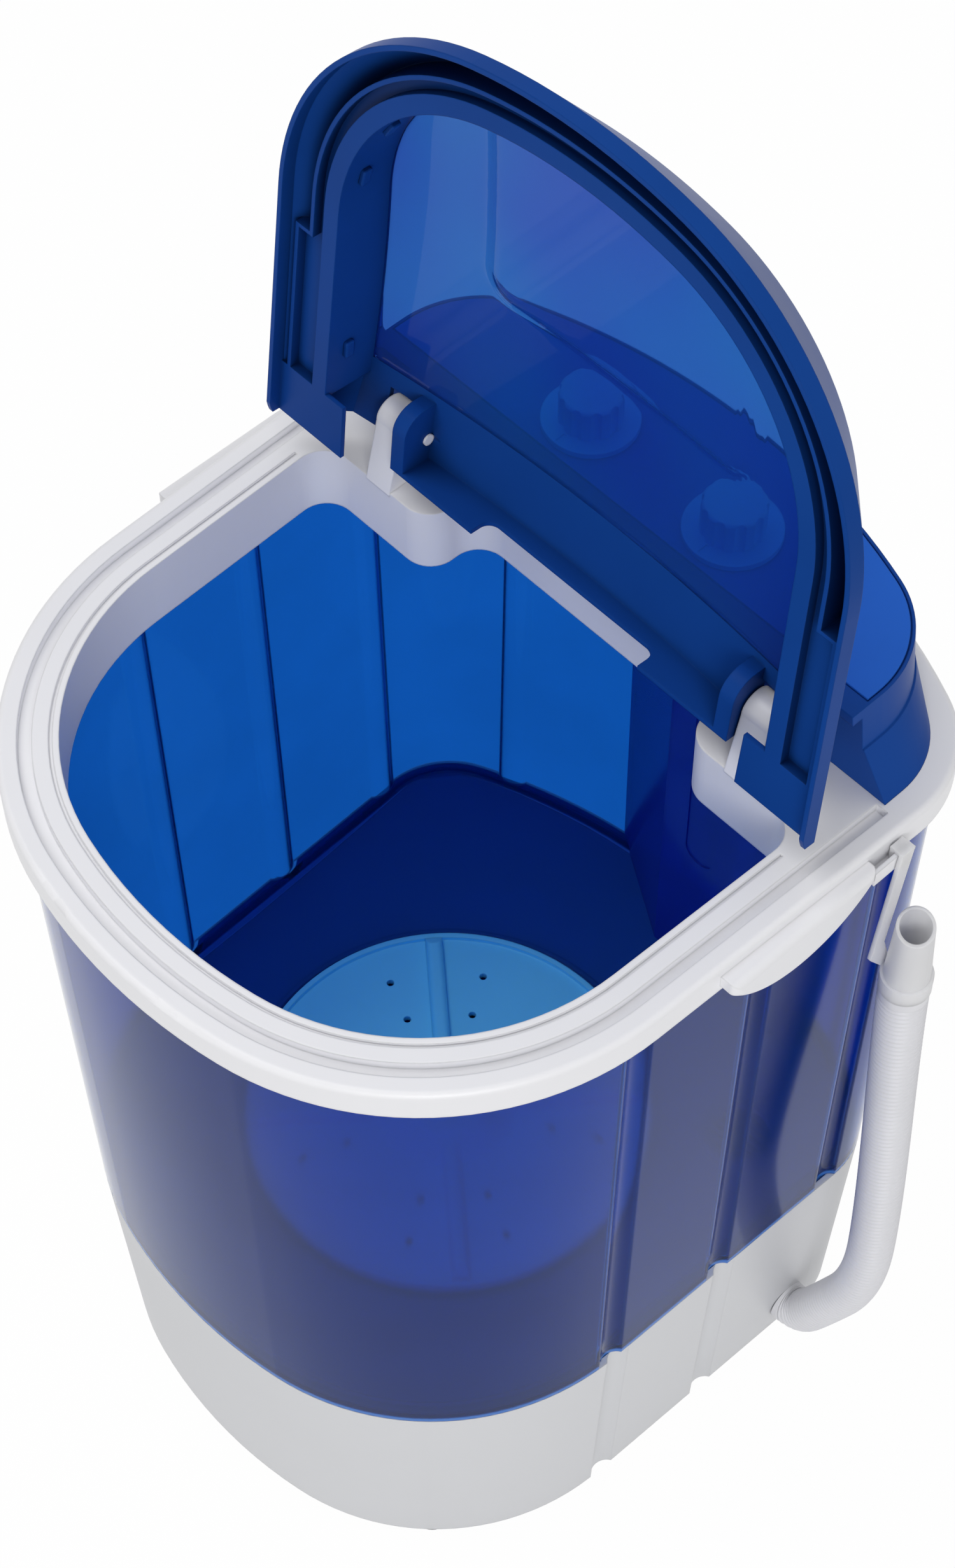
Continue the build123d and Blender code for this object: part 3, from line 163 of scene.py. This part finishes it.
def plastic(name, colour, roughness=0.35, mottle=0.04, grain=900.0, relief=0.02, specular=0.5, edge=0.0):
    """Moulded plastic: slight cloudiness in its colour, uneven gloss, a fine grain and softened edges."""
    material, tree, shader = new_material(name)
    cloud = noise(tree, 14.0)
    ramp = tree.nodes.new("ShaderNodeValToRGB")
    ramp.color_ramp.elements[0].position = 0.3
    ramp.color_ramp.elements[1].position = 0.7
    ramp.color_ramp.elements[0].color = [c * (1 - mottle) for c in colour[:3]] + [1]
    ramp.color_ramp.elements[1].color = [min(1, c * (1 + mottle)) for c in colour[:3]] + [1]
    tree.links.new(cloud.outputs["Fac"], ramp.inputs["Fac"])
    tree.links.new(ramp.outputs["Color"], shader.inputs["Base Color"])
    spread = tree.nodes.new("ShaderNodeMapRange")
    spread.inputs["To Min"].default_value = roughness * 0.85
    spread.inputs["To Max"].default_value = roughness * 1.15
    tree.links.new(cloud.outputs["Fac"], spread.inputs["Value"])
    tree.links.new(spread.outputs["Result"], shader.inputs["Roughness"])
    fine = noise(tree, grain, 2.0)
    bump = tree.nodes.new("ShaderNodeBump")
    bump.inputs["Strength"].default_value = relief
    bump.inputs["Distance"].default_value = 0.0005
    tree.links.new(fine.outputs["Fac"], bump.inputs["Height"])
    tree.links.new(bump.outputs["Normal"], shader.inputs["Normal"])
    if edge > 0:
        rounding = tree.nodes.new("ShaderNodeBevel")
        rounding.inputs["Radius"].default_value = edge
        tree.links.new(rounding.outputs["Normal"], bump.inputs["Normal"])
    shader.inputs["Specular IOR Level"].default_value = specular
    return material


def clear_plastic(name, colour, roughness, transmission, reflection_tint=None, mottle=0.05, wave=0.02, edge=0.0):
    """See-through tinted plastic with faint flow marks, and, if given, broad patches of another tint that are
    painted reflections.
    """
    material = plastic(name, colour, roughness, mottle, grain=25.0, relief=wave, edge=edge)
    tree = material.node_tree
    shader = tree.nodes["Principled BSDF"]
    shader.inputs["Transmission Weight"].default_value = transmission
    shader.inputs["IOR"].default_value = clear_index
    shader.inputs["Specular Tint"].default_value = clear_tint
    # Patches of the reflection tint are painted reflections, not a tint of the plastic.
    if reflection_tint:
        ramp = shader.inputs["Base Color"].links[0].from_node
        ramp.color_ramp.elements[0].color = reflection_tint
        broad = noise(tree, 7.0, 1.0)
        tree.links.new(broad.outputs["Fac"], ramp.inputs["Fac"])
    return material


def painted_bright_strip(material, low, high, colour, transmission):
    """Painted light: paler colour and lower clearness along the bottom edge of upright walls, and part of that
    on the floor, for the bright line where wall meets floor.
    """
    tree = material.node_tree
    shader = tree.nodes["Principled BSDF"]
    main = shader.inputs["Base Color"].links[0].from_socket
    place = tree.nodes.new("ShaderNodeTexCoord")
    parts = tree.nodes.new("ShaderNodeSeparateXYZ")
    fade = tree.nodes.new("ShaderNodeMapRange")
    fade.inputs["From Min"].default_value = low
    fade.inputs["From Max"].default_value = high
    slope = tree.nodes.new("ShaderNodeSeparateXYZ")
    steep = tree.nodes.new("ShaderNodeMath")
    steep.operation = "ABSOLUTE"
    level = tree.nodes.new("ShaderNodeMapRange")
    level.inputs["To Max"].default_value = floor_share
    main_share = tree.nodes.new("ShaderNodeMath")
    main_share.operation = "MAXIMUM"
    clear = tree.nodes.new("ShaderNodeMapRange")
    clear.inputs["To Min"].default_value = transmission
    clear.inputs["To Max"].default_value = shader.inputs["Transmission Weight"].default_value
    mix = tree.nodes.new("ShaderNodeMixRGB")
    mix.inputs["Color1"].default_value = colour
    tree.links.new(place.outputs["Object"], parts.inputs["Vector"])
    tree.links.new(parts.outputs["Z"], fade.inputs["Value"])
    tree.links.new(place.outputs["Normal"], slope.inputs["Vector"])
    tree.links.new(slope.outputs["Z"], steep.inputs[0])
    tree.links.new(steep.outputs[0], level.inputs["Value"])
    tree.links.new(fade.outputs["Result"], main_share.inputs[0])
    tree.links.new(level.outputs["Result"], main_share.inputs[1])
    tree.links.new(main_share.outputs[0], mix.inputs["Fac"])
    tree.links.new(main, mix.inputs["Color2"])
    tree.links.new(mix.outputs["Color"], shader.inputs["Base Color"])
    tree.links.new(main_share.outputs[0], clear.inputs["Value"])
    tree.links.new(clear.outputs["Result"], shader.inputs["Transmission Weight"])


def shade_recesses(material, reach, darkest):
    """Darker colour deep in narrow channels, where little light comes in."""
    tree = material.node_tree
    shader = tree.nodes["Principled BSDF"]
    main = shader.inputs["Base Color"].links[0].from_socket
    open_share = tree.nodes.new("ShaderNodeAmbientOcclusion")
    open_share.inputs["Distance"].default_value = reach
    level = tree.nodes.new("ShaderNodeMapRange")
    level.inputs["From Min"].default_value = 0.25
    level.inputs["From Max"].default_value = 0.7
    level.inputs["To Min"].default_value = darkest
    mix = tree.nodes.new("ShaderNodeMixRGB")
    mix.blend_type = "MULTIPLY"
    mix.inputs["Fac"].default_value = 1.0
    tree.links.new(open_share.outputs["AO"], level.inputs["Value"])
    tree.links.new(main, mix.inputs["Color1"])
    tree.links.new(level.outputs["Result"], mix.inputs["Color2"])
    tree.links.new(mix.outputs["Color"], shader.inputs["Base Color"])


def soften(material, share, reach):
    """Lets light spread inside a thin-walled pale plastic."""
    shader = material.node_tree.nodes["Principled BSDF"]
    shader.inputs["Subsurface Weight"].default_value = share
    shader.inputs["Subsurface Radius"].default_value = (reach, reach, reach)
    shader.inputs["Subsurface Scale"].default_value = 1.0


def metal(name, colour, roughness):
    material = plastic(name, colour, roughness, mottle=0.06, grain=1500.0, relief=0.04)
    material.node_tree.nodes["Principled BSDF"].inputs["Metallic"].default_value = 1.0
    return material


white = plastic("white_plastic", linear(238, 238, 241), 0.32, 0.012, edge=0.0012)
# Painted shade: the base's white is set darker than the rim's for its upright sides, which get less light.
base_shaded_white = plastic("base_plastic", linear(214, 215, 218), 0.42, 0.015, edge=0.0012)
hose_white = plastic("hose_plastic", linear(228, 228, 232), 0.4, 0.02, edge=0.0005)
nozzle_white = plastic("nozzle_plastic", linear(236, 236, 239), 0.4, 0.012, edge=0.0006)
soften(nozzle_white, 0.7, 0.012)
lid_blue = plastic("lid_plastic", linear(20, 66, 142), 0.32, 0.06, specular=0.03, edge=0.0009)
shade_recesses(lid_blue, 0.03, 0.26)
panel_blue = plastic("panel_plastic", linear(26, 72, 152), 0.36, 0.05, specular=0.04, edge=0.001)
fascia_blue = plastic("fascia_plastic", linear(40, 104, 206), 0.34, 0.05, specular=0.08, edge=0.0008)
tub_blue = clear_plastic("tub_plastic", linear(16, 92, 188), 0.08, 0.88, edge=0.002)
# Painted light: paler, less clear colour at the tub's foot, standing in for the bright line where wall meets
# floor.
painted_bright_strip(tub_blue, strip_low, strip_high, linear(70, 130, 215), strip_clearness)
duct_blue = clear_plastic("duct_plastic", linear(44, 74, 184), 0.12, 0.4)
# Its patches of a purple tint are painted reflections.
window_blue = clear_plastic("window_plastic", linear(46, 120, 194), 0.04, 0.76, reflection_tint=linear(52, 90, 190))
# Painted light: the pulsator's colour is raised above its own to make up for light that doesn't reach it
# inside the tub.
pulsator_lit_blue = plastic("pulsator_plastic", linear(122, 230, 255), 0.36, 0.03, edge=0.0012)
knob_blue = plastic("knob_plastic", linear(130, 210, 255), 0.35, 0.02, edge=0.0008)
grey_plastic = plastic("unit_plastic", linear(180, 176, 168), 0.5)
black_plastic = plastic("pulley_plastic", linear(60, 60, 62), 0.45)
rubber = plastic("dark_rubber", linear(40, 40, 42), 0.75, 0.08, relief=0.06)
foot_rubber = plastic("foot_rubber", linear(150, 150, 154), 0.7, 0.05, relief=0.06)
steel = metal("zinc_steel", linear(200, 200, 205), 0.32)
cast = metal("cast_aluminium", linear(195, 196, 200), 0.5)
iron = metal("varnished_iron", linear(120, 118, 116), 0.55)

finish = {
    "base_housing": base_shaded_white, "bottom_plate": base_shaded_white, "feet": foot_rubber, "base_screws": steel,
    "tub": tub_blue, "overflow_duct": duct_blue, "drain_grate": lid_blue, "drain_pipe": grey_plastic,
    "pulsator": pulsator_lit_blue, "pulsator_screw": steel, "drive_shaft": steel, "shaft_seal": rubber,
    "bearing_screws": steel, "bearing_housing": cast, "shaft_bearings": steel, "pulley_nut": steel,
    "driven_pulley": black_plastic, "motor_pulley": black_plastic, "drive_belt": rubber,
    "motor_shields": cast, "motor_stator": iron, "motor_rotor": iron, "motor_shaft": steel,
    "motor_bushes": rubber, "motor_screws": steel, "capacitor": cast, "capacitor_clamp": steel,
    "hose_end_fitting": nozzle_white, "top_rim": white, "hinge_pins": white, "lid_frame": lid_blue,
    "lid_window": window_blue, "panel_housing": panel_blue, "panel_fascia": fascia_blue,
    "panel_screws": steel, "timer_knob": knob_blue, "selector_knob": knob_blue, "timer_shaft": grey_plastic,
    "selector_shaft": grey_plastic, "timer_unit": grey_plastic, "selector_switch": grey_plastic,
    "wire_duct": tub_blue, "wiring_loom": rubber, "cord_gland": rubber,
}
for name, material in finish.items():
    mesh = nodes[name].data
    mesh.materials.clear()
    mesh.materials.append(material)

# Drain hose


def spline_points(route):
    """Points along the smooth curve that has the route as its control points."""
    curve = bpy.data.curves.new("hose_line", "CURVE")
    curve.dimensions = "3D"
    spline = curve.splines.new("NURBS")
    spline.points.add(len(route) - 1)
    for point, place in zip(spline.points, route):
        point.co = (*place, 1)
    spline.order_u = 3
    spline.use_endpoint_u = True
    spline.resolution_u = 48
    line = bpy.data.objects.new("hose_line", curve)
    bpy.context.scene.collection.objects.link(line)
    bpy.context.view_layer.update()
    mesh = bpy.data.meshes.new_from_object(line)
    points = [v.co.copy() for v in mesh.vertices]
    bpy.data.objects.remove(line)
    return points


def along(points, distances, distance):
    """Place and direction at a distance along a line of points."""
    last = len(points) - 2
    i = min(last, max(0, sum(1 for d in distances if d <= distance) - 1))
    step = points[i + 1] - points[i]
    share = (distance - distances[i]) / step.length
    return points[i] + step * share, step.normalized()


def hose_profile(distance, length):
    """Outside radius: plain cuffs at both ends and rounded ribs between."""
    if distance < hose_root_cuff or distance > length - hose_end_cuff:
        return hose_radius
    phase = (distance - hose_root_cuff) / hose_pitch * 2 * math.pi
    wave = 0.5 - 0.5 * math.cos(phase)
    crest = wave * wave * (3 - 2 * wave)
    return hose_root_radius + (hose_radius - hose_root_radius) * crest


def make_hose():
    points = spline_points(hose_route)
    distances = [0.0]
    for a, b in zip(points, points[1:]):
        distances.append(distances[-1] + (b - a).length)
    length = distances[-1]
    step = hose_pitch / rings_per_rib
    rings = round(length / step)
    outside = [length * i / rings for i in range(rings + 1)]
    vertices = []
    across = Vector((0, 1, 0))

    def add_ring(distance, radius):
        place, direction = along(points, distances, distance)
        side = across.cross(direction).normalized()
        for k in range(hose_sides):
            angle = 2 * math.pi * k / hose_sides
            vertices.append(place + across * radius * math.cos(angle) + side * radius * math.sin(angle))

    for distance in outside:
        add_ring(distance, hose_profile(distance, length))
    for distance in reversed(outside):
        add_ring(distance, hose_bore)
    total = 2 * len(outside)
    faces = []
    for i in range(total):
        for k in range(hose_sides):
            a = i * hose_sides + k
            b = i * hose_sides + (k + 1) % hose_sides
            c = ((i + 1) % total) * hose_sides
            faces.append((a, b, c + (k + 1) % hose_sides, c + k))
    mesh = bpy.data.meshes.new("ribbed_hose")
    mesh.from_pydata(vertices, [], faces)
    mesh.polygons.foreach_set("use_smooth", [True] * len(faces))
    mesh.materials.append(hose_white)
    hose = bpy.data.objects.new("ribbed_hose", mesh)
    bpy.context.scene.collection.objects.link(hose)
    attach(hose, "cabinet")
    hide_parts("drain_hose")


make_hose()

# Window pane of the lid, and the clips beside it


def opened(points):
    """Points given for the closed lid, turned with it to its open place."""
    turn = Matrix.Translation(hinge) @ Matrix.Rotation(lid_open, 4, "X") @ Matrix.Translation(-hinge)
    return [turn @ Vector(point) for point in points]


def half_width(y):
    """Half the width of the window at y: front curve, corner, then the nearly straight side."""
    if y < front_join_y:
        return math.sqrt(front_radius ** 2 - (y - front_centre_y) ** 2)
    if y < side_join_y:
        return corner_centre.x + math.sqrt(corner_radius ** 2 - (y - corner_centre.y) ** 2)
    side = corner_centre.x + math.sqrt(corner_radius ** 2 - (side_join_y - corner_centre.y) ** 2)
    return side + (y - side_join_y) * side_slope


def dish(x, y):
    """Depth of the soft-edged dish in the pane."""
    across = abs(x - dish_centre.x) - dish_half.x + dish_corner
    along_y = abs(y - dish_centre.y) - dish_half.y + dish_corner
    outside = math.hypot(max(across, 0), max(along_y, 0)) + min(max(across, along_y), 0) - dish_corner
    share = min(1, max(0, -outside / dish_slope))
    return dish_depth * share * share * (3 - 2 * share)


def make_pane():
    first = front_centre_y - front_radius + pane_tip
    outer = []
    for i in range(pane_rows + 1):
        y = first + (window_rear - first) * (i / pane_rows) ** pane_row_spread
        for k in range(pane_columns + 1):
            x = half_width(y) * (2 * k / pane_columns - 1)
            crown = math.sqrt(dome_radius ** 2 - x ** 2 - y ** 2)
            outer.append(Vector((x, y, lid_top - dome_radius + crown - dish(x, y))))
    inner = [point - Vector((0, 0, pane_thickness)) for point in outer]
    size = len(outer)
    row = pane_columns + 1
    faces = []
    for i in range(pane_rows):
        for k in range(pane_columns):
            a = i * row + k
            faces.append((a, a + 1, a + row + 1, a + row))
            faces.append((size + a, size + a + row, size + a + row + 1, size + a + 1))
    edge = list(range(row))
    edge += [i * row + row - 1 for i in range(1, pane_rows + 1)]
    edge += [pane_rows * row + k for k in reversed(range(row - 1))]
    edge += [i * row for i in reversed(range(1, pane_rows))]
    for a, b in zip(edge, edge[1:] + edge[:1]):
        faces.append((b, a, size + a, size + b))
    mesh = bpy.data.meshes.new("window_pane")
    mesh.from_pydata(opened(outer + inner), [], faces)
    mesh.polygons.foreach_set("use_smooth", [True] * (2 * pane_rows * pane_columns) + [False] * len(edge))
    mesh.materials.append(window_blue)
    pane = bpy.data.objects.new("window_pane", mesh)
    bpy.context.scene.collection.objects.link(pane)
    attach(pane, "lid")
    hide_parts("lid_window")


def add_block(form, place, size, turn, rounding):
    """Adds a block with rounded edges, turned about the upright axis."""
    where = Matrix.Translation(place) @ Matrix.Rotation(turn, 4, "Z") @ Matrix.Diagonal((*size, 1))
    made = bmesh.ops.create_cube(form, size=1, matrix=where)
    edges = {edge for vertex in made["verts"] for edge in vertex.link_edges}
    bmesh.ops.bevel(form, geom=list(edges), offset=rounding, segments=2, affect="EDGES", profile=0.5)


def finish_piece(form, name, material):
    for vertex, place in zip(form.verts, opened([v.co for v in form.verts])):
        vertex.co = place
    mesh = bpy.data.meshes.new(name)
    form.to_mesh(mesh)
    form.free()
    mesh.materials.append(material)
    piece = bpy.data.objects.new(name, mesh)
    bpy.context.scene.collection.objects.link(piece)
    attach(piece, "lid")


def make_clips():
    """Small clips on the wall round the window."""
    clips = bmesh.new()
    for side in (-1, 1):
        for y in clip_rows:
            x = half_width(y)
            turn = math.atan2(min(0, y - side_join_y), x - corner_centre.x) * side
            add_block(clips, (side * (x - clip_sink), y, clip_height), clip_size, turn, clip_rounding)
    finish_piece(clips, "window_clips", lid_blue)


make_pane()
make_clips()

# Stage and light


def seen_ray(tree):
    """Socket that is 1 for rays that show the background: from the camera, by reflection or through glass."""
    path = tree.nodes.new("ShaderNodeLightPath")
    seen = tree.nodes.new("ShaderNodeMath")
    seen.operation = "MAXIMUM"
    seen_through = tree.nodes.new("ShaderNodeMath")
    seen_through.operation = "MAXIMUM"
    tree.links.new(path.outputs["Is Camera Ray"], seen.inputs[0])
    tree.links.new(path.outputs["Is Glossy Ray"], seen.inputs[1])
    tree.links.new(seen.outputs[0], seen_through.inputs[0])
    tree.links.new(path.outputs["Is Transmission Ray"], seen_through.inputs[1])
    return seen_through.outputs[0]


def make_stage():
    bpy.ops.mesh.primitive_plane_add(size=stage_size)
    floor = bpy.context.object
    floor.name = "studio_floor"
    material, tree, shader = new_material("pale_floor")
    shader.inputs["Base Color"].default_value = stage_colour
    shader.inputs["Roughness"].default_value = 0.9
    shader.inputs["Specular IOR Level"].default_value = 0.1
    glow = tree.nodes.new("ShaderNodeEmission")
    share = tree.nodes.new("ShaderNodeMath")
    share.operation = "MULTIPLY"
    share.inputs[1].default_value = stage_glow
    mix = tree.nodes.new("ShaderNodeMixShader")
    output = tree.nodes["Material Output"]
    tree.links.new(seen_ray(tree), share.inputs[0])
    tree.links.new(share.outputs[0], mix.inputs[0])
    tree.links.new(shader.outputs[0], mix.inputs[1])
    tree.links.new(glow.outputs[0], mix.inputs[2])
    tree.links.new(mix.outputs[0], output.inputs["Surface"])
    floor.data.materials.append(material)


def make_world():
    world = bpy.data.worlds.new("studio")
    bpy.context.scene.world = world
    world.use_nodes = True
    tree = world.node_tree
    backdrop = tree.nodes["Background"]
    backdrop.inputs["Color"].default_value = (1, 1, 1, 1)
    level = tree.nodes.new("ShaderNodeMapRange")
    level.inputs["To Min"].default_value = world_level
    level.inputs["To Max"].default_value = world_seen_level
    tree.links.new(seen_ray(tree), level.inputs["Value"])
    tree.links.new(level.outputs["Result"], backdrop.inputs["Strength"])


def softbox(name, place, size, power):
    data = bpy.data.lights.new(name, "AREA")
    data.shape = "SQUARE"
    data.size = size
    data.energy = power
    lamp = bpy.data.objects.new(name, data)
    bpy.context.scene.collection.objects.link(lamp)
    lamp.location = place
    lamp.rotation_euler = (Vector(light_aim) - Vector(place)).to_track_quat("-Z", "Y").to_euler()


make_stage()
make_world()
softbox("top_light", place=(-0.6, -0.4, 2.6), size=1.6, power=16)
softbox("right_light", place=(1.9, -1.5, 1.7), size=1.2, power=24)
set_camera()
bpy.context.scene.view_settings.view_transform = "Standard"
